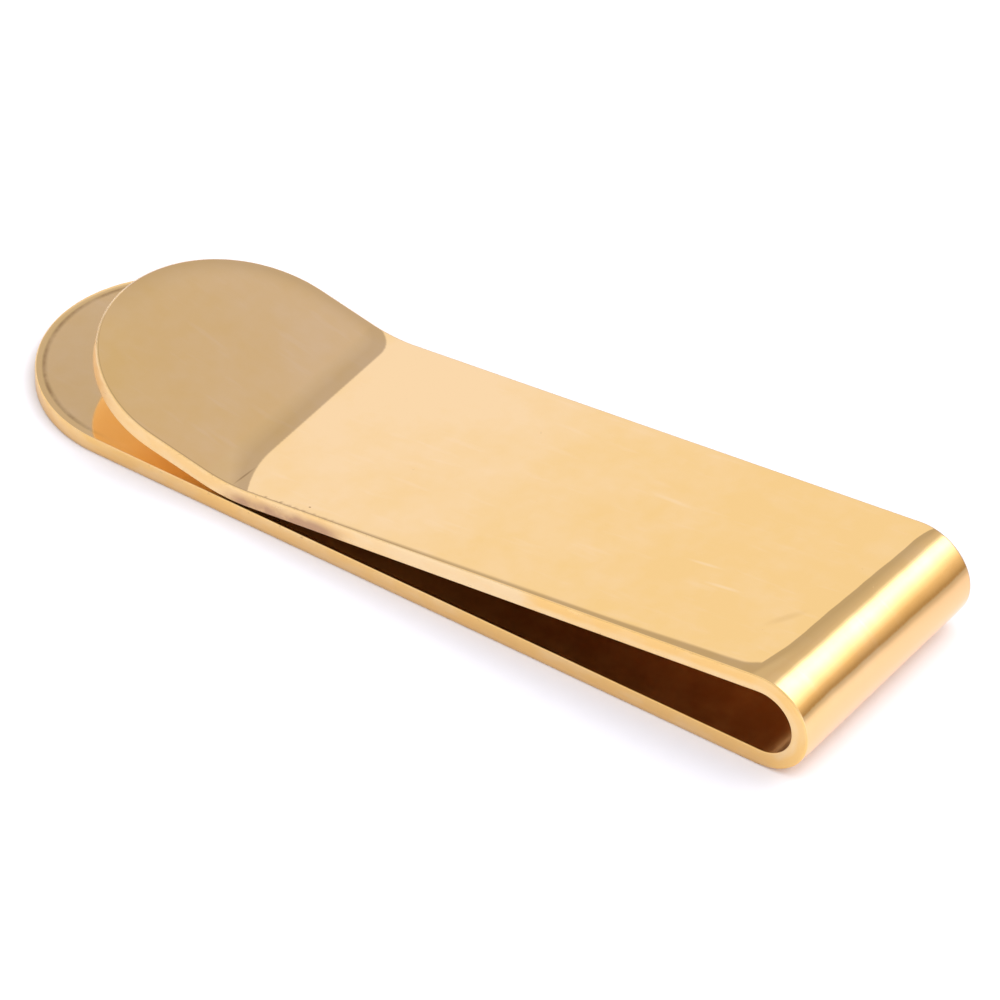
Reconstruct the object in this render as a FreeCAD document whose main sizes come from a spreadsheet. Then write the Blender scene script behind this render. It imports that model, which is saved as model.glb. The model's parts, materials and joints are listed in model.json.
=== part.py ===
import FreeCAD, Part
import math
import os

import Sketcher

# Money clip: a single strip of gold-plated brass, half-round at both ends and folded back on itself.
#
# The strip is modelled as the four zones that a person would name on it.
#   base_leaf    flat lower leaf with a half-round free end
#   fold_bend    U-shaped fold at the back, which is the spring
#   spring_arm   straight upper arm, sloping down from the fold to the base leaf
#   thumb_lip    end of the arm, curved up so that a thumb or folded notes can lift it
#
# Frame: +X towards the fold, +Y across the strip, +Z up. The origin is under the middle of the
# clip, on the surface that the base leaf lies on. Millimetres and degrees.

DRIVING_SIZES = (
    ("overall_length", 62.5, "tip of the base leaf to the outside of the fold"),
    ("strip_width", 18.0, "width of the strip, and diameter of its half-round ends"),
    ("strip_gauge", 1.2, "thickness of the strip"),
    ("edge_round", 0.15, "radius on the long edges of the strip"),
    ("fold_radius", 3.45, "outside radius of the fold"),
    ("arm_straight", 38.0, "straight part of the arm, between the fold and the lip"),
    ("arm_slope", 6.35, "downward slope of the arm, away from the fold"),
    ("lip_radius", 11.0, "radius of the lip's upward curve, to the middle of the strip"),
    ("lip_rise", 12.0, "upward slope of the lip, away from the fold"),
    ("lip_straight", 4.0, "flat part of the lip, before its half-round end"),
)

# Places worked out from the driving sizes, as spreadsheet expressions.
HALF_WIDTH = "sheet.strip_width / 2"
FOLD_X = "(sheet.overall_length / 2 - sheet.fold_radius)"
BASE_END_X = "(sheet.overall_length / 2 - sheet.strip_width / 2)"
LIP_OUTSIDE = "(sheet.lip_radius + sheet.strip_gauge / 2)"
LIP_TURN = "sheet.arm_slope + sheet.lip_rise"
LIP_REACH = "(sheet.fold_radius - sheet.strip_gauge / 2 + sheet.lip_radius)"
LIP_X = (
    FOLD_X + " - sheet.arm_straight * cos(sheet.arm_slope * 1 deg)"
    " - " + LIP_REACH + " * sin(sheet.arm_slope * 1 deg)"
)
LIP_Z = (
    "sheet.fold_radius - sheet.arm_straight * sin(sheet.arm_slope * 1 deg)"
    " + " + LIP_REACH + " * cos(sheet.arm_slope * 1 deg)"
)

# The sketcher's own names for the parts of a sketch.
START, END, CENTRE = 1, 2, 3
ORIGIN_POINT = (-1, 1)
X_AXIS = -1

ACROSS = FreeCAD.Vector(0, 1, 0)

doc = FreeCAD.newDocument("money_clip")
sizes = {name: value for name, value, note in DRIVING_SIZES}


def make_sheet():
    """The spreadsheet that holds the driving sizes."""
    sheet = doc.addObject("Spreadsheet::Sheet", "sheet")
    for row, (name, value, note) in enumerate(DRIVING_SIZES, start=1):
        sheet.set("A%d" % row, name)
        sheet.set("B%d" % row, str(value))
        sheet.setAlias("B%d" % row, name)
        sheet.set("C%d" % row, note)
    doc.recompute()


def new_body(name, x="0", z="0", tilt="0", tilt_now=0.0):
    """A body at (x, 0, z), with its free end lifted by the angle tilt."""
    body = doc.addObject("PartDesign::Body", name)
    body.Label = name
    body.Placement = FreeCAD.Placement(FreeCAD.Vector(), FreeCAD.Rotation(ACROSS, tilt_now))
    body.setExpression("Placement.Base.x", x)
    body.setExpression("Placement.Base.z", z)
    if tilt != "0":
        body.setExpression("Placement.Rotation.Angle", tilt)
    return body


def new_sketch(body, role, name):
    """A sketch on one of the body's own origin planes."""
    sketch = body.newObject("Sketcher::SketchObject", name)
    plane = [item for item in body.Origin.OriginFeatures if item.Role == role][0]
    sketch.AttachmentSupport = (plane, [""])
    sketch.MapMode = "FlatFace"
    return sketch


def bind(sketch, constraint, expression):
    """Adds a driving constraint whose value comes from the sheet."""
    index = sketch.addConstraint(constraint)
    sketch.setExpression("Constraints[%d]" % index, expression)


def line(sketch, first, second):
    """Adds a straight line and returns its number in the sketch."""
    ends = [FreeCAD.Vector(point[0], point[1], 0) for point in (first, second)]
    return sketch.addGeometry(Part.LineSegment(ends[0], ends[1]), False)


def draw_rectangle(sketch, left, right, low, high):
    """A rectangle whose four sides are given as (value now, axis distance expression)."""
    corners = [(left[0], low[0]), (right[0], low[0]), (right[0], high[0]), (left[0], high[0])]
    sides = [line(sketch, corners[i], corners[(i + 1) % 4]) for i in range(4)]
    for i in range(4):
        sketch.addConstraint(Sketcher.Constraint("Coincident", sides[i], END, sides[(i + 1) % 4], START))
    for i in (0, 2):
        sketch.addConstraint(Sketcher.Constraint("Horizontal", sides[i]))
        sketch.addConstraint(Sketcher.Constraint("Vertical", sides[i + 1]))
    for kind, side, point, place in (
        ("DistanceX", sides[0], START, left),
        ("DistanceX", sides[0], END, right),
        ("DistanceY", sides[0], START, low),
        ("DistanceY", sides[2], START, high),
    ):
        constraint = Sketcher.Constraint(kind, *ORIGIN_POINT, side, point, place[0])
        bind(sketch, constraint, place[1])


def draw_round_ended_leaf(sketch, root_x, root_place, end_x, end_place):
    """Plan outline of a leaf: square at root_x, half-round about end_x, which is further back."""
    half = sizes["strip_width"] / 2
    near = line(sketch, (root_x, -half), (end_x, -half))
    circle = Part.Circle(FreeCAD.Vector(end_x, 0, 0), FreeCAD.Vector(0, 0, 1), half)
    nose = sketch.addGeometry(Part.ArcOfCircle(circle, math.pi / 2, 3 * math.pi / 2), False)
    far = line(sketch, (end_x, half), (root_x, half))
    root = line(sketch, (root_x, half), (root_x, -half))
    sketch.addConstraint(Sketcher.Constraint("Tangent", near, END, nose, END))
    sketch.addConstraint(Sketcher.Constraint("Tangent", nose, START, far, START))
    sketch.addConstraint(Sketcher.Constraint("Coincident", far, END, root, START))
    sketch.addConstraint(Sketcher.Constraint("Coincident", root, END, near, START))
    sketch.addConstraint(Sketcher.Constraint("Horizontal", near))
    sketch.addConstraint(Sketcher.Constraint("Vertical", root))
    sketch.addConstraint(Sketcher.Constraint("PointOnObject", nose, CENTRE, X_AXIS))
    bind(sketch, Sketcher.Constraint("Radius", nose, half), HALF_WIDTH)
    bind(sketch, Sketcher.Constraint("DistanceX", nose, CENTRE, *ORIGIN_POINT, -end_x), end_place)
    bind(sketch, Sketcher.Constraint("DistanceX", *ORIGIN_POINT, root, START, root_x), root_place)


def strip_section(body, name, low, high):
    """The strip's cross-section, standing on the body's YZ plane between two heights."""
    half = sizes["strip_width"] / 2
    sketch = new_sketch(body, "YZ_Plane", name)
    draw_rectangle(sketch, (-half, "-" + HALF_WIDTH), (half, HALF_WIDTH), low, high)
    return sketch


def turn_about_width(body, name, sketch, angle):
    """Turns a cross-section about the body's Y axis, from straight down towards +X."""
    turn = body.newObject("PartDesign::Revolution", name)
    turn.Profile = sketch
    turn.ReferenceAxis = (sketch, ["H_Axis"])
    turn.setExpression("Angle", angle)
    turn.Reversed = True
    return turn


def round_long_edges(body, feature):
    """Rounds every edge along the strip, and leaves the cuts between the zones square."""
    doc.recompute()
    names = []
    for number, edge in enumerate(feature.Shape.Edges, start=1):
        across = edge.Curve.TypeId == "Part::GeomLine" and abs(edge.tangentAt(0).dot(ACROSS)) > 0.999
        if edge.Length > sizes["strip_gauge"] * 1.01 and not across:
            names.append("Edge%d" % number)
    fillet = body.newObject("PartDesign::Fillet", body.Name + "_edges")
    fillet.Base = (feature, names)
    fillet.setExpression("Radius", "sheet.edge_round")
    body.Tip = fillet
    return fillet


def make_base_leaf():
    """The flat lower leaf, from its half-round end to the start of the fold."""
    body = new_body("base_leaf")
    sketch = new_sketch(body, "XY_Plane", "base_outline")
    root_x = sizes["overall_length"] / 2 - sizes["fold_radius"]
    end_x = sizes["strip_width"] / 2 - sizes["overall_length"] / 2
    draw_round_ended_leaf(sketch, root_x, FOLD_X, end_x, BASE_END_X)
    pad = body.newObject("PartDesign::Pad", "base_pad")
    pad.Profile = sketch
    pad.setExpression("Length", "sheet.strip_gauge")
    round_long_edges(body, pad)
    return body


def make_fold_bend():
    """The fold: the strip turned through a half circle and a little more."""
    body = new_body("fold_bend", x=FOLD_X, z="sheet.fold_radius")
    outside = (-sizes["fold_radius"], "-sheet.fold_radius")
    inside = (sizes["strip_gauge"] - sizes["fold_radius"], "sheet.strip_gauge - sheet.fold_radius")
    section = strip_section(body, "fold_section", outside, inside)
    turn = turn_about_width(body, "fold_turn", section, "180 + sheet.arm_slope")
    round_long_edges(body, turn)
    return body


def make_spring_arm():
    """The straight arm, in a frame at the fold's centre that is tilted down with the arm."""
    slope = -sizes["arm_slope"]
    body = new_body("spring_arm", FOLD_X, "sheet.fold_radius", "-sheet.arm_slope", slope)
    sketch = new_sketch(body, "XZ_Plane", "arm_side")
    underside = (sizes["fold_radius"] - sizes["strip_gauge"], "sheet.fold_radius - sheet.strip_gauge")
    upper_side = (sizes["fold_radius"], "sheet.fold_radius")
    draw_rectangle(sketch, (-sizes["arm_straight"], "-sheet.arm_straight"), (0, "0"), underside, upper_side)
    pad = body.newObject("PartDesign::Pad", "arm_pad")
    pad.Profile = sketch
    pad.Midplane = True
    pad.setExpression("Length", "sheet.strip_width")
    round_long_edges(body, pad)
    return body


def make_thumb_lip():
    """The lip, in a frame at the centre of its curve that is tilted up with its flat part."""
    body = new_body("thumb_lip", LIP_X, LIP_Z, "sheet.lip_rise", sizes["lip_rise"])
    outside = sizes["lip_radius"] + sizes["strip_gauge"] / 2
    inside = sizes["lip_radius"] - sizes["strip_gauge"] / 2
    convex = (-outside, "-" + LIP_OUTSIDE)
    hollow = (-inside, "sheet.strip_gauge / 2 - sheet.lip_radius")
    section = strip_section(body, "lip_section", convex, hollow)
    turn_about_width(body, "lip_turn", section, LIP_TURN)
    doc.recompute()
    sketch = new_sketch(body, "XY_Plane", "lip_outline")
    sketch.setExpression("AttachmentOffset.Base.z", "-" + LIP_OUTSIDE)
    draw_round_ended_leaf(sketch, 0.0, "0", -sizes["lip_straight"], "sheet.lip_straight")
    pad = body.newObject("PartDesign::Pad", "lip_pad")
    pad.Profile = sketch
    pad.setExpression("Length", "sheet.strip_gauge")
    round_long_edges(body, pad)
    return body


def check_document(bodies):
    """Stops if any object failed or any zone is not one valid solid."""
    for item in doc.Objects:
        if "Invalid" in item.State or "Error" in item.State:
            raise RuntimeError("failed object: " + item.Name)
    for body in bodies:
        shape = body.Shape
        if shape.isNull() or not shape.isValid() or len(shape.Solids) != 1:
            raise RuntimeError("bad shape: " + body.Name)


def report(bodies):
    """Prints the sizes that the design has to hold."""
    for body in bodies:
        box = body.Shape.optimalBoundingBox()
        print("%-11s volume %8.2f mm3  x %.2f..%.2f  y %.2f..%.2f  z %.2f..%.2f" % (
            body.Name, body.Shape.Volume, box.XMin, box.XMax, box.YMin, box.YMax, box.ZMin, box.ZMax))
    for first, second in zip(bodies, bodies[1:]):
        shared = first.Shape.common(second.Shape).Volume
        print("%s and %s share %.4f mm3" % (first.Name, second.Name, shared))
    base, fold, arm, lip = bodies
    gap = min(base.Shape.distToShape(lip.Shape)[0], base.Shape.distToShape(arm.Shape)[0])
    print("gap between the arm and the base leaf %.3f mm" % gap)


make_sheet()
zones = [make_base_leaf(), make_fold_bend(), make_spring_arm(), make_thumb_lip()]
doc.recompute()
check_document(zones)
report(zones)
os.makedirs("parts", exist_ok=True)
for zone in zones:
    zone.Shape.exportStep("parts/" + zone.Label + ".step")
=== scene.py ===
import json
import math

import bmesh
import bpy
from mathutils import Matrix, Vector


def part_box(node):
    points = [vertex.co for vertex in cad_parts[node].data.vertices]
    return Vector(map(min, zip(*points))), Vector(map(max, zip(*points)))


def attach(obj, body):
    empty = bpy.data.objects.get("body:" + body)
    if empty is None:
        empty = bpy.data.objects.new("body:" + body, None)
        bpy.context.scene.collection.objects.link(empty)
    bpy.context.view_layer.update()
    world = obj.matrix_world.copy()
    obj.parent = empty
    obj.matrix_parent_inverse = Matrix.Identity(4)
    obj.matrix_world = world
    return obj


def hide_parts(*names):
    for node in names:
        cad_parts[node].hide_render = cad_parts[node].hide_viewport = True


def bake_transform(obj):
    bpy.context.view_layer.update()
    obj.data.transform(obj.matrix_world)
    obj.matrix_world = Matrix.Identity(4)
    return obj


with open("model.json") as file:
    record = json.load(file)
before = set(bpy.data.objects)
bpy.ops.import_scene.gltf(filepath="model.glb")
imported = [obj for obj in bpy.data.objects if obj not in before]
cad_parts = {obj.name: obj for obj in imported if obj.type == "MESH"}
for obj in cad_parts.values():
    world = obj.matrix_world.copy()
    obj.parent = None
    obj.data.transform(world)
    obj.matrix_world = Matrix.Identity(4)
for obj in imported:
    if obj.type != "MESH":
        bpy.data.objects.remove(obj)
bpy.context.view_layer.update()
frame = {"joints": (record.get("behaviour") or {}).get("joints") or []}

# A gold-plated money clip: one strip, folded back on itself, in four zones that meet edge to edge.
# Lengths are in metres, in the CAD model's frame: +X towards the fold, +Y across, +Z up.

MM = 0.001
UP = Vector((0, 0, 1))
NEAR = Vector((0, -1, 0))

# ---- sizes, from the frame ----

base_low, base_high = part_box("base_leaf")
arm_low, arm_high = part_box("spring_arm")
hinge = frame["joints"][0]

HALF_WIDTH = (base_high.y - base_low.y) / 2
GAUGE = base_high.z - base_low.z
FOLD_CENTRE = Vector(hinge["pos_m"])
FOLD_RADIUS = FOLD_CENTRE.z
ARM_SLOPE = math.asin((FOLD_CENTRE.x - arm_high.x) / (FOLD_RADIUS - GAUGE))
ARM_LENGTH = (FOLD_CENTRE.x - arm_low.x - FOLD_RADIUS * math.sin(ARM_SLOPE)) / math.cos(ARM_SLOPE)
BASE_LENGTH = FOLD_CENTRE.x - base_low.x - HALF_WIDTH
FOLD_LENGTH = (FOLD_RADIUS - GAUGE / 2) * (math.pi + ARM_SLOPE)

# ---- sizes that the frame doesn't hold ----

LIP_RADIUS = 11.0 * MM
LIP_RISE = math.radians(12.0)
LIP_STRAIGHT = 4.0 * MM
LIP_CURVE = LIP_RADIUS * (ARM_SLOPE + LIP_RISE)

# Radii of the edges, and how early the shading turns round them, where 1 is evenly.
OUTER_EDGE = 0.18 * MM
INNER_EDGE = 0.09 * MM
EDGE_BIAS = 0.4

# Polishing rounds the faces off towards their edges. A crown is the tilt at the edge, and how far in it
# reaches. The mesh has only CROWN_DEPTH of its depth, and the shading normals have all of its tilt.
FLAT_CROWN = (math.radians(0.8), 0.5 * MM)
CORNER_CROWN = (math.radians(7.6), 4.2 * MM)
FOLD_NEAR_CROWN = (math.radians(7.0), 4.2 * MM)
ARM_NEAR_CROWN = (math.radians(6.3), 4.2 * MM)
LIP_NEAR_CROWN = (math.radians(5.7), 4.2 * MM)
FAR_CROWN = (math.radians(4.2), 2.2 * MM)
TIP_CROWN = (math.radians(3.0), 0.45 * MM)
CROWN_POWER = 2.2
CROWN_DEPTH = 0.3

# Leans are in the shading normals only, not in the mesh, so they show only in reflections.
TIP_LEAN = math.radians(-1.6)
TIP_LEAN_LENGTH = 16.0 * MM


def eased(value, low, high):
    """0 below low, 1 above high, and smooth between."""
    share = min(max((value - low) / (high - low), 0.0), 1.0)
    return share * share * (3 - 2 * share)


# ---- the strip's centre line ----

def tangent(heading):
    """Direction of travel: 0 is +X along the base leaf, a quarter turn is up the back of the fold."""
    return Vector((math.cos(heading), 0, math.sin(heading)))


def outward(heading):
    """Outer side of the strip: under the base leaf, behind the fold, on top of the arm."""
    return Vector((math.sin(heading), 0, -math.cos(heading)))


def along(start, heading, length, turn, count):
    """Stations from start: (place, heading, distance), on a run of that length that turns by turn."""
    stations = []
    for i in range(count + 1):
        share = i / count
        here = heading + turn * share
        if abs(turn) < 1e-9:
            place = start + tangent(heading) * (length * share)
        else:
            radius = length / turn
            place = start + (outward(heading) * -radius + outward(here) * radius)
        stations.append((place, here, length * share))
    return stations


# ---- the strip's cross-section ----

def face_profile(crown, radius):
    """Half of one face, from the middle of the strip to its side: (distance out, height, tilt)."""
    edge_tilt, width = crown
    start_tilt = crown_tilt(crown, radius)
    end = radius * (1 - math.sin(start_tilt))
    points = [((HALF_WIDTH - width) * i / FLAT_STEPS, GAUGE / 2, 0.0) for i in range(FLAT_STEPS + 1)]
    for i in range(1, CROWN_STEPS + 1):
        inset = width + (end - width) * i / CROWN_STEPS
        drop = edge_tilt * width * (1 - inset / width) ** (CROWN_POWER + 1) / (CROWN_POWER + 1)
        points.append((HALF_WIDTH - inset, GAUGE / 2 - drop * CROWN_DEPTH, crown_tilt(crown, inset)))
    arc_height = points[-1][1] - radius * math.cos(start_tilt)
    for i in range(1, ARC_STEPS + 1):
        turn = start_tilt + (math.pi / 2 - start_tilt) * i / ARC_STEPS
        tilt = start_tilt + (math.pi / 2 - start_tilt) * (i / ARC_STEPS) ** EDGE_BIAS
        out = HALF_WIDTH - radius + radius * math.sin(turn)
        points.append((out, arc_height + radius * math.cos(turn), tilt))
    return points


def crown_tilt(crown, inset):
    """How far a crowned face tilts outwards at that distance in from its side."""
    edge_tilt, width = crown
    return edge_tilt * max(1 - inset / width, 0.0) ** CROWN_POWER


FLAT_STEPS = 10
CROWN_STEPS = 12
ARC_STEPS = 10
SIDE_STEPS = 4
FACE_ARC_STEPS = 3
FIRST_SIDE = FLAT_STEPS + CROWN_STEPS + FACE_ARC_STEPS
LAST_SIDE = FIRST_SIDE + 2 * (ARC_STEPS - FACE_ARC_STEPS) + SIDE_STEPS


def half_section(outer_crown, inner_crown):
    """Half of the cross-section, from the middle of the outer face round to the middle of the inner."""
    outer = face_profile(outer_crown, OUTER_EDGE)
    inner = face_profile(inner_crown, INNER_EDGE)
    inner = [(out, -height, math.pi - tilt) for out, height, tilt in reversed(inner)]
    top, low = outer[-1][1], inner[0][1]
    side = [(HALF_WIDTH, top + (low - top) * i / SIDE_STEPS, math.pi / 2) for i in range(1, SIDE_STEPS)]
    return outer + side + inner


def blended(first, second, share):
    """A crown that is that share of the way from the first to the second."""
    return tuple(a + (b - a) * share for a, b in zip(first, second))


def between(near_crown, far_crown, reach):
    """The crown on the side that reach points to, from the near one to the far one."""
    return blended(near_crown, far_crown, eased(reach.y, -1.0, 1.0))


def base_crowns(distance, reach):
    """Crowns of the base leaf's underside and of its top, which is rounded off most at the tip."""
    return FLAT_CROWN, between(FLAT_CROWN, TIP_CROWN, reach)


def arm_crowns(distance, reach):
    """Crowns of the outer and inner faces of the fold, the arm and the lip."""
    near = blended(CORNER_CROWN, FOLD_NEAR_CROWN, eased(distance, FOLD_LENGTH, FOLD_LENGTH + 3 * MM))
    near = blended(near, ARM_NEAR_CROWN, eased(distance, FOLD_LENGTH + 2 * MM, FOLD_LENGTH + 12 * MM))
    near = blended(near, LIP_NEAR_CROWN, eased(distance, LIP_START - 1 * MM, LIP_START + 1 * MM))
    return between(near, FAR_CROWN, reach), FLAT_CROWN


LIP_START = FOLD_LENGTH + ARM_LENGTH


# ---- leans ----

def base_lean(distance, across):
    """The base leaf's tip reflects as if it were sprung up very slightly."""
    return TIP_LEAN * eased(-distance, BASE_LENGTH - TIP_LEAN_LENGTH, BASE_LENGTH)


def fold_lean(distance, across):
    """The fold reflects as if bent slightly askew: forwards at the far side and back at the near."""
    angle = math.degrees(distance / (FOLD_RADIUS - GAUGE / 2)) - 90
    skew = 0.43 * eased(angle, -30, 0) * (1 - eased(angle, 30, 48))
    skew += 0.35 * eased(angle, 52, 70)
    skew += 0.50 * eased(angle, 78, 88)
    ripple = 0.22 * math.sin(1.3 * across / MM + 0.5) + 0.17 * math.sin(3.7 * across / MM + angle / 25)
    lean = skew * across / MM + ripple - 1.0 * eased(angle, 84, 92)
    fade = 1 - 0.8 * eased(distance, FOLD_LENGTH, FOLD_LENGTH + 0.45 * MM)
    fade -= 0.2 * eased(distance, FOLD_LENGTH, FOLD_LENGTH + 1.6 * MM)
    return math.radians(lean) * fade * eased(angle, -90, -60)


# ---- meshes ----

def side_rows(stations, start_distance, reach):
    """Rows down one side of a zone: (place, heading, reach from the middle of the strip, distance)."""
    return [(place, heading, reach, start_distance + gone) for place, heading, gone in stations]


def nose_rows(station, start_distance, ahead):
    """Rows round a half-round end, from the near side to the far side, about the last station."""
    place, heading, gone = station
    rows = []
    for i in range(1, NOSE_STEPS):
        angle = math.pi * i / NOSE_STEPS
        reach = NEAR * math.cos(angle) + ahead * math.sin(angle)
        rows.append((place, heading, reach, start_distance + gone))
    return rows


NOSE_STEPS = 120


def cut_zone(name, stations, start_distance, crowns, lean):
    """A zone that is cut square at both ends."""
    near = side_rows(stations, start_distance, NEAR)
    far = side_rows(stations[::-1], start_distance, -NEAR)
    return strip_piece(name, (near, far), crowns, lean)


def ended_zone(name, stations, start_distance, ahead, crowns, lean):
    """A zone that is cut square at its first station and half-round beyond its last."""
    near = side_rows(stations, start_distance, NEAR)
    nose = nose_rows(stations[-1], start_distance, ahead)
    far = side_rows(stations[::-1], start_distance, -NEAR)
    return strip_piece(name, (near + nose + far,), crowns, lean)


def face_slot(index):
    """Material slot of the face at that place round the half section: outer, side or inner."""
    if index < FIRST_SIDE:
        return 0
    return 1 if index < LAST_SIDE else 2


def strip_piece(name, sweeps, crowns, lean):
    """A closed mesh of one zone, with exact normals, so that its cuts don't show when polished."""
    shape = bmesh.new()
    uv_layer = shape.loops.layers.uv.new("strip")
    section_layer = shape.loops.layers.uv.new("section")
    exact = shape.verts.layers.float_vector.new("exact")
    flat_place = {}
    section_place = {}
    for rows in sweeps:
        columns = []
        for place, heading, reach, distance in rows:
            column = []
            normal = outward(heading)
            for out, height, tilt in half_section(*crowns(distance, reach)):
                point = shape.verts.new(place + reach * out + normal * height)
                gone = distance + reach.dot(tangent(heading)) * out
                across = reach.y * out
                leaning = outward(heading + lean(gone, across))
                point[exact] = leaning * math.cos(tilt) + reach * math.sin(tilt)
                flat_place[point] = (gone, across + height)
                section_place[point] = (HALF_WIDTH - out, height)
                column.append(point)
            columns.append(column)
        for first, second in zip(columns, columns[1:]):
            for i in range(len(first) - 1):
                face = shape.faces.new((first[i], second[i], second[i + 1], first[i + 1]))
                face.smooth = True
                face.material_index = face_slot(i)
                for loop in face.loops:
                    loop[uv_layer].uv = flat_place[loop.vert]
                    loop[section_layer].uv = section_place[loop.vert]
    bmesh.ops.remove_doubles(shape, verts=shape.verts[:], dist=1e-8)
    cuts = [edge for edge in shape.edges if len(edge.link_faces) == 1]
    bmesh.ops.edgeloop_fill(shape, edges=cuts)
    for edge in cuts:
        edge.smooth = False
    bmesh.ops.recalc_face_normals(shape, faces=shape.faces[:])
    loop_normals = []
    for face in shape.faces:
        for loop in face.loops:
            loop_normals.append(loop.vert[exact].copy() if face.smooth else face.normal.copy())
    mesh = bpy.data.meshes.new(name)
    shape.to_mesh(mesh)
    shape.free()
    mesh.normals_split_custom_set(loop_normals)
    mesh.attributes.remove(mesh.attributes["exact"])
    piece = bpy.data.objects.new(name, mesh)
    bpy.context.scene.collection.objects.link(piece)
    return piece


BASE_STATIONS = 100
FOLD_STATIONS = 240
ARM_STATIONS = 160
LIP_STATIONS = 60
TIP_STATIONS = 10


def make_base_leaf():
    """The lower leaf, from the fold back to its half-round end."""
    start = Vector((FOLD_CENTRE.x, 0, GAUGE / 2))
    stations = []
    for i in range(BASE_STATIONS + 1):
        gone = BASE_LENGTH * i / BASE_STATIONS
        stations.append((start - Vector((gone, 0, 0)), 0.0, -gone))
    return ended_zone("base_leaf_metal", stations, 0.0, Vector((-1, 0, 0)), base_crowns, base_lean)


def make_fold_bend():
    """The fold, a little more than a half circle."""
    start = Vector((FOLD_CENTRE.x, 0, GAUGE / 2))
    stations = along(start, 0.0, FOLD_LENGTH, math.pi + ARM_SLOPE, FOLD_STATIONS)
    return cut_zone("fold_bend_metal", stations, 0.0, arm_crowns, fold_lean)


def make_spring_arm():
    """The straight arm."""
    heading = math.pi + ARM_SLOPE
    start = FOLD_CENTRE + outward(heading) * (FOLD_RADIUS - GAUGE / 2)
    stations = along(start, heading, ARM_LENGTH, 0.0, ARM_STATIONS)
    return cut_zone("spring_arm_metal", stations, FOLD_LENGTH, arm_crowns, fold_lean)


def make_thumb_lip():
    """The lip: a short upward curve, a flat part and a half-round end."""
    heading = math.pi + ARM_SLOPE
    start = FOLD_CENTRE + outward(heading) * (FOLD_RADIUS - GAUGE / 2) + tangent(heading) * ARM_LENGTH
    curve = along(start, heading, LIP_CURVE, -(ARM_SLOPE + LIP_RISE), LIP_STATIONS)
    place, heading = curve[-1][:2]
    flat = along(place, heading, LIP_STRAIGHT, 0.0, TIP_STATIONS)[1:]
    stations = curve + [(spot, facing, LIP_CURVE + further) for spot, facing, further in flat]
    return ended_zone("thumb_lip_metal", stations, LIP_START, tangent(heading), arm_crowns, fold_lean)


# ---- node helpers ----

def add(tree, kind, options=None, **inputs):
    """Adds a node and sets or links its inputs, by name with _ for a space, or by number as i0, i1."""
    node = tree.nodes.new(kind)
    for key, value in (options or {}).items():
        setattr(node, key, value)
    for key, value in inputs.items():
        by_number = key[0] == "i" and key[1:].isdigit()
        socket = node.inputs[int(key[1:]) if by_number else key.replace("_", " ")]
        if isinstance(value, bpy.types.NodeSocket):
            tree.links.new(value, socket)
        else:
            socket.default_value = value
    return node


def maths(tree, operation, first, second=0.0):
    return add(tree, "ShaderNodeMath", {"operation": operation}, i0=first, i1=second).outputs[0]


def scaled(tree, vector, factors):
    return add(tree, "ShaderNodeVectorMath", {"operation": "MULTIPLY"}, i0=vector, i1=factors).outputs[0]


def smooth(tree, value, low, high, bottom=0.0, top=1.0):
    """Rises smoothly from bottom to top as value goes from low to high."""
    node = add(tree, "ShaderNodeMapRange", {"interpolation_type": "SMOOTHSTEP"}, Value=value)
    node.inputs["From Min"].default_value = low
    node.inputs["From Max"].default_value = high
    node.inputs["To Min"].default_value = bottom
    node.inputs["To Max"].default_value = top
    return node.outputs["Result"]


def mixed(tree, factor, first, second):
    node = add(tree, "ShaderNodeMix", {"data_type": "RGBA"})
    for index, value in ((0, factor), (6, first), (7, second)):
        if isinstance(value, bpy.types.NodeSocket):
            tree.links.new(value, node.inputs[index])
        else:
            node.inputs[index].default_value = value
    return node.outputs[2]


def noise(tree, vector, scale, detail=2.0, roughness=0.5):
    settings = {"Scale": scale, "Detail": detail, "Roughness": roughness}
    return add(tree, "ShaderNodeTexNoise", None, Vector=vector, **settings).outputs["Fac"]


# ---- materials ----

# Tints, as red, green, blue and alpha.
WARM_PLATE = (0.935, 0.634, 0.285, 1)
WIPE = (0.99, 0.76, 0.52, 1)
# Paler plate: the plate's own uneven tone, and a painted reflection tint where the arm, lip and tip mirror a
# paler, bluer surround.
PALE_TONE_AND_SHEEN_PLATE = (0.965, 0.700, 0.430, 1)
# Pinker plate: a painted reflection tint on the fold's lower back, where it mirrors the floor.
FLOOR_REFLECTION_PLATE = (0.935, 0.575, 0.285, 1)
# Painted shade: a dark line along the far edge's rounding.
FAR_EDGE_SHADE = (0.52, 0.33, 0.22, 1)
# Painted shade: a dark line along the near edge's rounding.
NEAR_EDGE_SHADE = (0.42, 0.28, 0.14, 1)
# Painted shade inside the slot, lighter towards its mouth.
SLOT_SHADE_BROWN = (0.57, 0.30, 0.085, 1)
SLOT_SHADE_TAN = (0.68, 0.395, 0.13, 1)
SLOT_MOUTH_SHADE = (0.88, 0.55, 0.22, 1)
UNDER_LIP = (0.93, 0.77, 0.48, 1)
# Painted highlight and painted shade on the bevel round the base leaf's tip.
TIP_BEVEL_GLINT = (0.97, 0.68, 0.33, 1)
TIP_BEVEL_SHADE = (0.42, 0.26, 0.12, 1)
SIDE_GOLD = (0.855, 0.548, 0.205, 1)
# Paler side: the side's own uneven tone, and a painted highlight on the lower half of the fold's, arm's and
# lip's sides.
SIDE_PALE = (0.86, 0.640, 0.365, 1)
STAIN = (0.50, 0.305, 0.18, 1)
# Painted shade low on the sides, by the table.
SIDE_TABLE_SHADE = (0.52, 0.33, 0.20, 1)
NICK = (0.40, 0.24, 0.12, 1)
PAPER = (0.905, 0.898, 0.925, 1)
PAPER_LIGHT = (0.925, 0.918, 0.945, 1)
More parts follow.
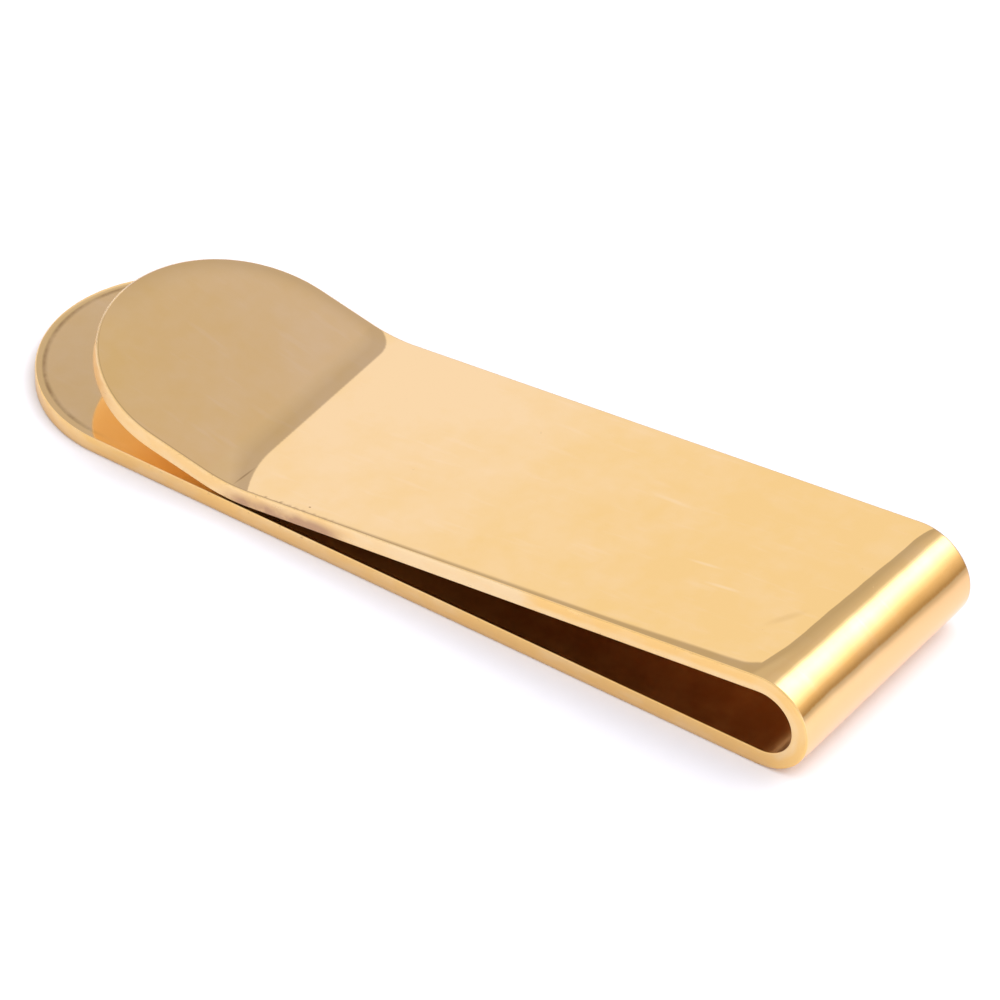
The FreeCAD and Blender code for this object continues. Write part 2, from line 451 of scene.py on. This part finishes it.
# Painted shade on the floor, past the fold and far out.
PAPER_SHADE_PAST_FOLD = (0.42, 0.38, 0.35, 1)
PAPER_SHADE_FAR = (0.42, 0.40, 0.38, 1)


def new_material(name):
    material = bpy.data.materials.new(name)
    material.use_nodes = True
    tree = material.node_tree
    tree.nodes.clear()
    return material, tree


def strip_place(tree):
    """Place on the flattened strip in mm: (vector, distance along it, distance across it)."""
    strip = add(tree, "ShaderNodeUVMap", {"uv_map": "strip"}).outputs[0]
    place = scaled(tree, strip, (1000, 1000, 1000))
    parts = add(tree, "ShaderNodeSeparateXYZ", None, Vector=place).outputs
    return place, parts["X"], parts["Y"]


def section_place(tree):
    """Place on the cross-section in mm: (distance in from the side, height towards the outer face)."""
    section = add(tree, "ShaderNodeUVMap", {"uv_map": "section"}).outputs[0]
    parts = add(tree, "ShaderNodeSeparateXYZ", None, Vector=scaled(tree, section, (1000, 1000, 1000))).outputs
    return parts["X"], parts["Y"]


# Marks on the arm: mm from the fold, mm from the middle, half length, half width, angle, strength, tint.
MARKS = (
    (9.0, -1.2, 1.6, 0.20, -4, 0.45, WIPE),
    (6.7, -2.6, 1.7, 0.22, -4, 0.50, WIPE),
    (14.5, 3.2, 2.4, 0.25, 3, 0.35, WIPE),
    (1.7, -3.3, 1.9, 0.45, 122, 0.45, (0.76, 0.50, 0.22, 1)),
    (33.65, -8.35, 0.12, 0.10, 0, 0.85, (0.30, 0.17, 0.08, 1)),
    (39.15, -7.75, 1.35, 0.11, 95, 0.65, (0.45, 0.28, 0.13, 1)),
)


def soft_mark(tree, place, centre, half_size, angle):
    """1 at the middle of a soft long mark, and 0 outside it."""
    difference = add(tree, "ShaderNodeVectorMath", {"operation": "SUBTRACT"}, i0=place, i1=(*centre, 0))
    from_centre = difference.outputs[0]
    turned = add(tree, "ShaderNodeVectorRotate", {"rotation_type": "Z_AXIS"}, Vector=from_centre)
    turned.inputs["Angle"].default_value = -math.radians(angle)
    reach = scaled(tree, turned.outputs[0], (1 / half_size[0], 1 / half_size[1], 0))
    reach = add(tree, "ShaderNodeVectorMath", {"operation": "LENGTH"}, i0=reach).outputs["Value"]
    return smooth(tree, reach, 0.1, 1.0, 1.0, 0.0)


def plate_tint(tree, place, distance, across):
    """Warm plate with uneven cloudy tone and wipes; paler by the arm's end, the lip's far side and the tip,
    and pinker low on the back of the fold, which are painted reflection tints.
    """
    arm, lip = FOLD_LENGTH / MM, LIP_START / MM
    # Painted reflection: paler towards the lip, across to the far side and at the tip, for a paler, bluer
    # reflection there.
    sheen_towards_lip = smooth(tree, distance, arm + 6, arm + 38, 0.05, 0.85)
    past = smooth(tree, distance, lip + 0.6, lip + 2.2, 1.0, 0.50)
    past = maths(tree, "MULTIPLY", past, smooth(tree, distance, lip + 4, lip + 12, 1.0, 0.6))
    side = smooth(tree, across, -6, 8, -0.06, 0.30)
    side = maths(tree, "MULTIPLY", side, smooth(tree, distance, arm + 22, arm + 36))
    tip = smooth(tree, distance, -BASE_LENGTH / MM, -BASE_LENGTH / MM + 14, 0.65, 0.0)
    cloud = maths(tree, "SUBTRACT", noise(tree, place, 0.24, 2.0), 0.5)
    mottle = maths(tree, "SUBTRACT", noise(tree, place, 0.9, 4.0), 0.5)
    pale = maths(tree, "ADD", maths(tree, "MULTIPLY", sheen_towards_lip, past), side)
    pale = maths(tree, "ADD", pale, tip)
    wipes = smooth(tree, noise(tree, scaled(tree, place, (0.22, 1.4, 1.0)), 1.0, 4.0), 0.56, 0.72)
    pale = maths(tree, "ADD", pale, maths(tree, "MULTIPLY", cloud, 1.1))
    pale = maths(tree, "ADD", pale, maths(tree, "MULTIPLY", mottle, 0.55))
    pale = maths(tree, "ADD", pale, maths(tree, "MULTIPLY", wipes, 0.22))
    colour = mixed(tree, pale, WARM_PLATE, PALE_TONE_AND_SHEEN_PLATE)
    # Painted reflection: the fold's lower back, which mirrors the floor, tinted pinker.
    floor_reflection_band = smooth(tree, distance, 4.8, 6.2, 1.0, 0.0)
    floor_reflection_band = maths(tree, "MULTIPLY", floor_reflection_band, smooth(tree, distance, -1.0, 0.5))
    colour = mixed(tree, floor_reflection_band, colour, FLOOR_REFLECTION_PLATE)
    for along_arm, across_arm, length, width, angle, strength, tint in MARKS:
        mark = soft_mark(tree, place, (arm + along_arm, across_arm + GAUGE / MM / 2), (length, width), angle)
        colour = mixed(tree, maths(tree, "MULTIPLY", mark, strength), colour, tint)
    return colour


def plate_shader(tree, colour, rough, lines, bump_strength):
    """A metal shader with fine lines in its surface, wired to the material's output."""
    bump = add(tree, "ShaderNodeBump", None, Strength=bump_strength, Distance=0.00001, Height=lines)
    shader = add(tree, "ShaderNodeBsdfPrincipled", None, Base_Color=colour, Metallic=1.0, Roughness=rough)
    tree.links.new(bump.outputs[0], shader.inputs["Normal"])
    add(tree, "ShaderNodeOutputMaterial", None, Surface=shader.outputs[0])


def polished_gold():
    """Mirror-polished plate with faint lines along the strip and a few specks, less polished on the fold,
    with painted shade along its far and near edges.
    """
    material, tree = new_material("polished_gold")
    place, distance, across = strip_place(tree)
    lines = noise(tree, scaled(tree, place, (0.10, 5.0, 1.0)), 1.0, 3.0)
    grain = noise(tree, place, 9.0, 2.0)
    colour = plate_tint(tree, place, distance, across)
    inset, height = section_place(tree)
    # Painted shade: a dark line along the far edge's rounding.
    far_edge_shade = maths(tree, "MULTIPLY", smooth(tree, inset, 0.11, 0.22, 1.0, 0.0), smooth(tree, across, 0, 1))
    colour = mixed(tree, maths(tree, "MULTIPLY", far_edge_shade, 0.8), colour, FAR_EDGE_SHADE)
    arm, lip = FOLD_LENGTH / MM, LIP_START / MM
    # Painted shade: a dark line along the near edge's rounding, on the arm towards the lip.
    near_edge_shade = maths(tree, "MULTIPLY", smooth(tree, inset, 0.06, 0.11),
                      smooth(tree, inset, 0.13, 0.21, 1.0, 0.0))
    near_edge_shade = maths(tree, "MULTIPLY", near_edge_shade, smooth(tree, distance, arm + 18, arm + 28))
    near_edge_shade = maths(tree, "MULTIPLY", near_edge_shade, smooth(tree, across, -3, 0, 0.55, 0.0))
    colour = mixed(tree, near_edge_shade, colour, NEAR_EDGE_SHADE)
    specks = smooth(tree, noise(tree, place, 1.7, 1.0), 0.78, 0.83)
    bent = maths(tree, "MULTIPLY", smooth(tree, distance, arm - 1.6, arm - 0.5, 1.0, 0.0),
                 smooth(tree, distance, 0.0, 2.0))
    rough = maths(tree, "ADD", maths(tree, "MULTIPLY", lines, 0.02), 0.004)
    rough = maths(tree, "ADD", rough, maths(tree, "MULTIPLY", specks, 0.3))
    rough = maths(tree, "ADD", rough, maths(tree, "MULTIPLY", bent, maths(tree, "MULTIPLY", grain, 0.20)))
    peel = maths(tree, "MULTIPLY", smooth(tree, distance, arm + 29, arm + 36),
                 smooth(tree, across, -8, -3, 1.0, 0.0))
    peel = maths(tree, "MULTIPLY", peel, smooth(tree, distance, lip - 0.5, lip + 1, 1.0, 0.0))
    peel = maths(tree, "MULTIPLY", peel, noise(tree, place, 2.2, 1.0))
    height = maths(tree, "ADD", lines, maths(tree, "MULTIPLY", peel, 9.0))
    plate_shader(tree, colour, rough, height, 0.03)
    return material


def inner_gold(polished):
    """The inner faces: satin plate, with painted shade in browns inside the slot, lighter towards its mouth,
    and polished on the base leaf's tip.
    """
    material, tree = new_material("inner_gold_polished" if polished else "inner_gold")
    place, distance, across = strip_place(tree)
    depth = maths(tree, "ABSOLUTE", maths(tree, "SUBTRACT", distance, FOLD_LENGTH / MM / 2))
    nip = (LIP_START - FOLD_LENGTH / 2) / MM
    bright = smooth(tree, depth, nip - 3, nip + 1)
    inset = section_place(tree)[0]
    rim = maths(tree, "MULTIPLY", smooth(tree, inset, 0.1, 0.35, 1.0, 0.0),
                smooth(tree, distance, -22, -10, 1.0, 0.0))
    bright = maths(tree, "MAXIMUM", bright, rim)
    lines = noise(tree, scaled(tree, place, (0.10, 5.0, 1.0)), 1.0, 3.0)
    # Painted shade: the slot is coloured dark brown and tan, lighter towards its mouth; plain plate shows by
    # the nip and along the base leaf's rim.
    blotch = noise(tree, place, 0.35, 3.0)
    slot_shade = mixed(tree, smooth(tree, blotch, 0.35, 0.7), SLOT_SHADE_BROWN, SLOT_SHADE_TAN)
    slot_shade = mixed(tree, smooth(tree, depth, nip - 24, nip - 6, 0.0, 0.8), slot_shade, SLOT_MOUTH_SHADE)
    plate = plate_tint(tree, place, distance, across) if polished else UNDER_LIP
    colour = mixed(tree, bright, slot_shade, plate)
    if polished:
        colour = tip_bevel_glint_and_shade(tree, colour, place, distance, inset)
    rough = maths(tree, "ADD", maths(tree, "MULTIPLY", lines, 0.15), 0.25)
    if polished:
        rough = add(tree, "ShaderNodeMix", None, i0=bright, i2=rough, i3=0.08).outputs[0]
    plate_shader(tree, colour, rough, lines, 0.03)
    return material


def tip_bevel_glint_and_shade(tree, colour, place, distance, inset):
    """The base leaf's tip has a more golden border, a painted highlight on its bevel, with a fine dark line
    of painted shade inside it that comes and goes.
    """
    tip = smooth(tree, distance, -BASE_LENGTH / MM - 3, -BASE_LENGTH / MM + 2, 1.0, 0.0)
    # Painted highlight: the bevel's rim made more golden.
    border = maths(tree, "MULTIPLY", tip, smooth(tree, inset, 0.45, 0.60, 1.0, 0.0))
    colour = mixed(tree, maths(tree, "MULTIPLY", border, 0.6), colour, TIP_BEVEL_GLINT)
    # Painted shade: a dark line just inside the bevel.
    line = maths(tree, "MULTIPLY", smooth(tree, inset, 0.38, 0.55), smooth(tree, inset, 0.55, 0.85, 1.0, 0.0))
    line = maths(tree, "MULTIPLY", line, tip)
    line = maths(tree, "MULTIPLY", line, smooth(tree, noise(tree, place, 0.5, 4.0, 0.7), 0.3, 0.7, 0.2, 0.75))
    return mixed(tree, line, colour, TIP_BEVEL_SHADE)


def satin_gold():
    """The cut sides: brushed along their length, mottled, stained by the nip, with a painted highlight on the
    lower half along the fold, arm and lip, and painted shade darker by the table.
    """
    material, tree = new_material("satin_gold")
    place, distance = strip_place(tree)[:2]
    height = section_place(tree)[1]
    streaks = noise(tree, scaled(tree, place, (0.5, 6.0, 1.0)), 1.0, 4.0)
    cloud = noise(tree, scaled(tree, place, (0.5, 1.2, 1.0)), 1.0, 3.0)
    arm, lip = FOLD_LENGTH / MM, LIP_START / MM
    pale = maths(tree, "MULTIPLY", smooth(tree, distance, arm + 15, arm + 18.5),
                 smooth(tree, distance, arm + 26, arm + 33, 1.0, 0.45))
    # Painted highlight: the lower half of the sides of the fold, arm and lip made paler.
    lower_half_highlight = maths(tree, "MULTIPLY", smooth(tree, height, -0.3, 0.1, 0.55, 0.0),
                     smooth(tree, distance, 0, 3))
    pale = maths(tree, "MAXIMUM", pale, lower_half_highlight)
    patches = smooth(tree, noise(tree, place, 0.13, 1.0), 0.40, 0.55, -0.1, 0.25)
    pale = maths(tree, "ADD", pale, maths(tree, "MULTIPLY", patches, smooth(tree, distance, -1, 1, 1.0, 0.0)))
    pale = maths(tree, "ADD", pale, smooth(tree, cloud, 0.35, 0.7, -0.15, 0.25))
    colour = mixed(tree, pale, SIDE_GOLD, SIDE_PALE)
    stained = maths(tree, "MULTIPLY", smooth(tree, distance, lip - 8.5, lip - 5),
                    smooth(tree, distance, lip, lip + 2.5, 1.0, 0.0))
    blotch = smooth(tree, noise(tree, place, 0.8, 3.0), 0.25, 0.6, 0.45, 1.0)
    stained = maths(tree, "MULTIPLY", stained, blotch)
    stained = maths(tree, "MULTIPLY", stained, smooth(tree, height, -0.3, 0.5, 1.2, 0.0))
    colour = mixed(tree, stained, colour, STAIN)
    # Painted shade: the sides of the base leaf and the fold's start darker towards the table.
    low = maths(tree, "ADD", smooth(tree, height, -0.5, 0.2, 0.0, 0.16),
                smooth(tree, height, 0.2, 0.55, 0.0, 0.45))
    low = maths(tree, "MULTIPLY", low, smooth(tree, distance, 0.0, 1.5, 1.0, 0.0))
    colour = mixed(tree, low, colour, SIDE_TABLE_SHADE)
    nicks = maths(tree, "MULTIPLY", smooth(tree, noise(tree, place, 2.4, 2.0), 0.66, 0.74),
                  smooth(tree, maths(tree, "ABSOLUTE", height), 0.35, 0.52))
    colour = mixed(tree, maths(tree, "MULTIPLY", nicks, 0.6), colour, NICK)
    rough = maths(tree, "ADD", maths(tree, "MULTIPLY", streaks, 0.2), 0.22)
    bump = add(tree, "ShaderNodeBump", None, Strength=0.4, Distance=0.00002, Height=streaks)
    shader = add(tree, "ShaderNodeBsdfPrincipled", None, Base_Color=colour, Metallic=1.0, Roughness=rough)
    tree.links.new(bump.outputs[0], shader.inputs["Normal"])
    add(tree, "ShaderNodeOutputMaterial", None, Surface=shader.outputs[0])
    return material


# Direction on the floor, past the fold and away from the camera, in which painted shade greys it.
PAST_FOLD = (0.826, 0.563, 0)


def floor_paper():
    """Plain white paper, with painted shade greying it past the fold and far out, beyond the light."""
    material, tree = new_material("floor_paper")
    place = add(tree, "ShaderNodeTexCoord").outputs["Object"]
    grain = noise(tree, place, 900.0, 2.0)
    colour = mixed(tree, grain, PAPER, PAPER_LIGHT)
    product = add(tree, "ShaderNodeVectorMath", {"operation": "DOT_PRODUCT"}, i0=place, i1=PAST_FOLD)
    past_fold = product.outputs["Value"]
    # Painted shade past the fold, where the fold mirrors the floor.
    colour = mixed(tree, smooth(tree, past_fold, 0.024, 0.075, 0.0, 0.8), colour, PAPER_SHADE_PAST_FOLD)
    reach = add(tree, "ShaderNodeVectorMath", {"operation": "LENGTH"}, i0=place).outputs["Value"]
    # Painted shade far out on the floor.
    colour = mixed(tree, smooth(tree, reach, 0.05, 0.18), colour, PAPER_SHADE_FAR)
    shader = add(tree, "ShaderNodeBsdfPrincipled", None, Base_Color=colour, Roughness=0.9)
    shader.inputs["Specular IOR Level"].default_value = 0.0
    add(tree, "ShaderNodeOutputMaterial", None, Surface=shader.outputs[0])
    return material


# ---- studio ----

def ramp(tree, value, stops):
    """A ramp over value, given as (value, (red, green, blue)) pairs in rising order."""
    node = add(tree, "ShaderNodeValToRGB", None, Fac=value)
    points = node.color_ramp.elements
    points.remove(points[-1])
    points[0].position = stops[0][0]
    points[0].color = (*stops[0][1], 1)
    for at, colour in stops[1:]:
        points.new(at).color = (*colour, 1)
    return node.outputs[0]


WALL = (1.00, 0.98, 0.93)
CEILING = (0.575, 0.545, 0.525)
CEILING_TOP = (0.68, 0.655, 0.64)
WINDOW_STRENGTH = 3.0


def studio_surround():
    """White walls below a grey ceiling, and a long soft window beyond the fold, above a dark skirting."""
    world = bpy.data.worlds.new("studio")
    bpy.context.scene.world = world
    world.use_nodes = True
    tree = world.node_tree
    tree.nodes.clear()
    ray = add(tree, "ShaderNodeTexCoord").outputs["Generated"]
    parts = add(tree, "ShaderNodeSeparateXYZ", None, Vector=ray).outputs
    walls = ramp(tree, parts["Z"], (
        (0.0, WALL), (0.632, WALL), (0.642, CEILING), (0.70, CEILING), (0.77, CEILING_TOP),
        (1.0, CEILING_TOP)))
    half_turns = maths(tree, "DIVIDE", maths(tree, "ARCTAN2", parts["Z"], parts["X"]), math.pi)
    window = ramp(tree, half_turns, (
        (0.03, (0.16, 0.12, 0.076)), (0.13, (0.32, 0.26, 0.19)), (0.17, (0.41, 0.38, 0.31)),
        (0.23, (0.56, 0.54, 0.52)), (0.33, (0.93, 0.94, 0.95)), (0.36, (1.0, 1.0, 1.0)),
        (0.43, (0.86, 0.86, 0.86)), (0.466, (0.42, 0.43, 0.46)), (0.50, (0.26, 0.25, 0.245)),
        (0.55, (0.226, 0.212, 0.206))))
    window = scaled(tree, window, (WINDOW_STRENGTH, WINDOW_STRENGTH, WINDOW_STRENGTH))
    beyond = maths(tree, "MULTIPLY", smooth(tree, half_turns, 0.54, 0.59, 1.0, 0.0),
                   smooth(tree, parts["Y"], 0.2, 0.45))
    surround = mixed(tree, beyond, walls, window)
    background = add(tree, "ShaderNodeBackground", None, Color=surround, Strength=1.0)
    add(tree, "ShaderNodeOutputWorld", None, Surface=background.outputs[0])


LAMP_PLACE = Vector((0.25, -0.05, 0.66))
LAMP_SIZE = 0.8
LAMP_WATTS = 4.0
LAMP_COLOUR = (0.83, 0.87, 1.0)


def overhead_light():
    """A large soft light above and beyond the fold. It lights the floor but isn't mirrored in the metal."""
    data = bpy.data.lights.new("overhead", "AREA")
    data.shape = "SQUARE"
    data.size = LAMP_SIZE
    data.energy = LAMP_WATTS
    data.color = LAMP_COLOUR
    lamp = bpy.data.objects.new("overhead", data)
    lamp.location = LAMP_PLACE
    lamp.rotation_euler = LAMP_PLACE.to_track_quat("Z", "Y").to_euler()
    lamp.visible_glossy = False
    lamp.visible_camera = False
    bpy.context.scene.collection.objects.link(lamp)


FLOOR_HALF = 3.0
FLOOR_DROP = 0.01 * MM


def make_floor(material):
    """A square of paper, a hair below the base leaf so that the two don't coincide."""
    shape = bmesh.new()
    signs = ((-1, -1), (1, -1), (1, 1), (-1, 1))
    corners = [shape.verts.new((x * FLOOR_HALF, y * FLOOR_HALF, -FLOOR_DROP)) for x, y in signs]
    shape.faces.new(corners)
    mesh = bpy.data.meshes.new("floor")
    shape.to_mesh(mesh)
    shape.free()
    floor = bpy.data.objects.new("floor", mesh)
    floor.data.materials.append(material)
    bpy.context.scene.collection.objects.link(floor)


CAMERA_AZIMUTH = math.radians(34.324)
CAMERA_ELEVATION = math.radians(39.764)
CAMERA_ROLL = math.radians(1.178)
CAMERA_DISTANCE = 638.597 * MM
CAMERA_TARGET = Vector((2.933, -0.726, 3.0)) * MM
CAMERA_LENS = 373.188


def make_camera():
    """A long lens, looking down on the near side of the clip from beside the fold."""
    azimuth, elevation, roll = CAMERA_AZIMUTH, CAMERA_ELEVATION, CAMERA_ROLL
    back = Vector((
        math.sin(azimuth) * math.cos(elevation),
        -math.cos(azimuth) * math.cos(elevation),
        math.sin(elevation)))
    level = (-back).cross(UP).normalized()
    upright = level.cross(-back)
    right = level * math.cos(roll) + upright * math.sin(roll)
    top = upright * math.cos(roll) - level * math.sin(roll)
    turn = Matrix((right, top, back)).transposed().to_4x4()
    data = bpy.data.cameras.new("camera")
    data.sensor_width = 36.0
    data.lens = CAMERA_LENS
    data.clip_start = 0.01
    data.clip_end = 20.0
    camera = bpy.data.objects.new("camera", data)
    camera.matrix_world = Matrix.Translation(CAMERA_TARGET + back * CAMERA_DISTANCE) @ turn
    bpy.context.scene.collection.objects.link(camera)
    bpy.context.scene.camera = camera


make_camera()
studio_surround()
overhead_light()
make_floor(floor_paper())

outer, sides, inner, inner_polished = polished_gold(), satin_gold(), inner_gold(False), inner_gold(True)
base = make_base_leaf()
fold = make_fold_bend()
arm = make_spring_arm()
lip = make_thumb_lip()
for piece, node in ((base, "base_leaf"), (fold, "fold_bend"), (arm, "spring_arm"), (lip, "thumb_lip")):
    for material in (outer, sides, inner_polished if piece is base else inner):
        piece.data.materials.append(material)
    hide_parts(node)

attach(base, "lower")
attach(arm, "arm")
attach(lip, "arm")
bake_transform(fold)

bpy.context.scene.view_settings.view_transform = "Standard"
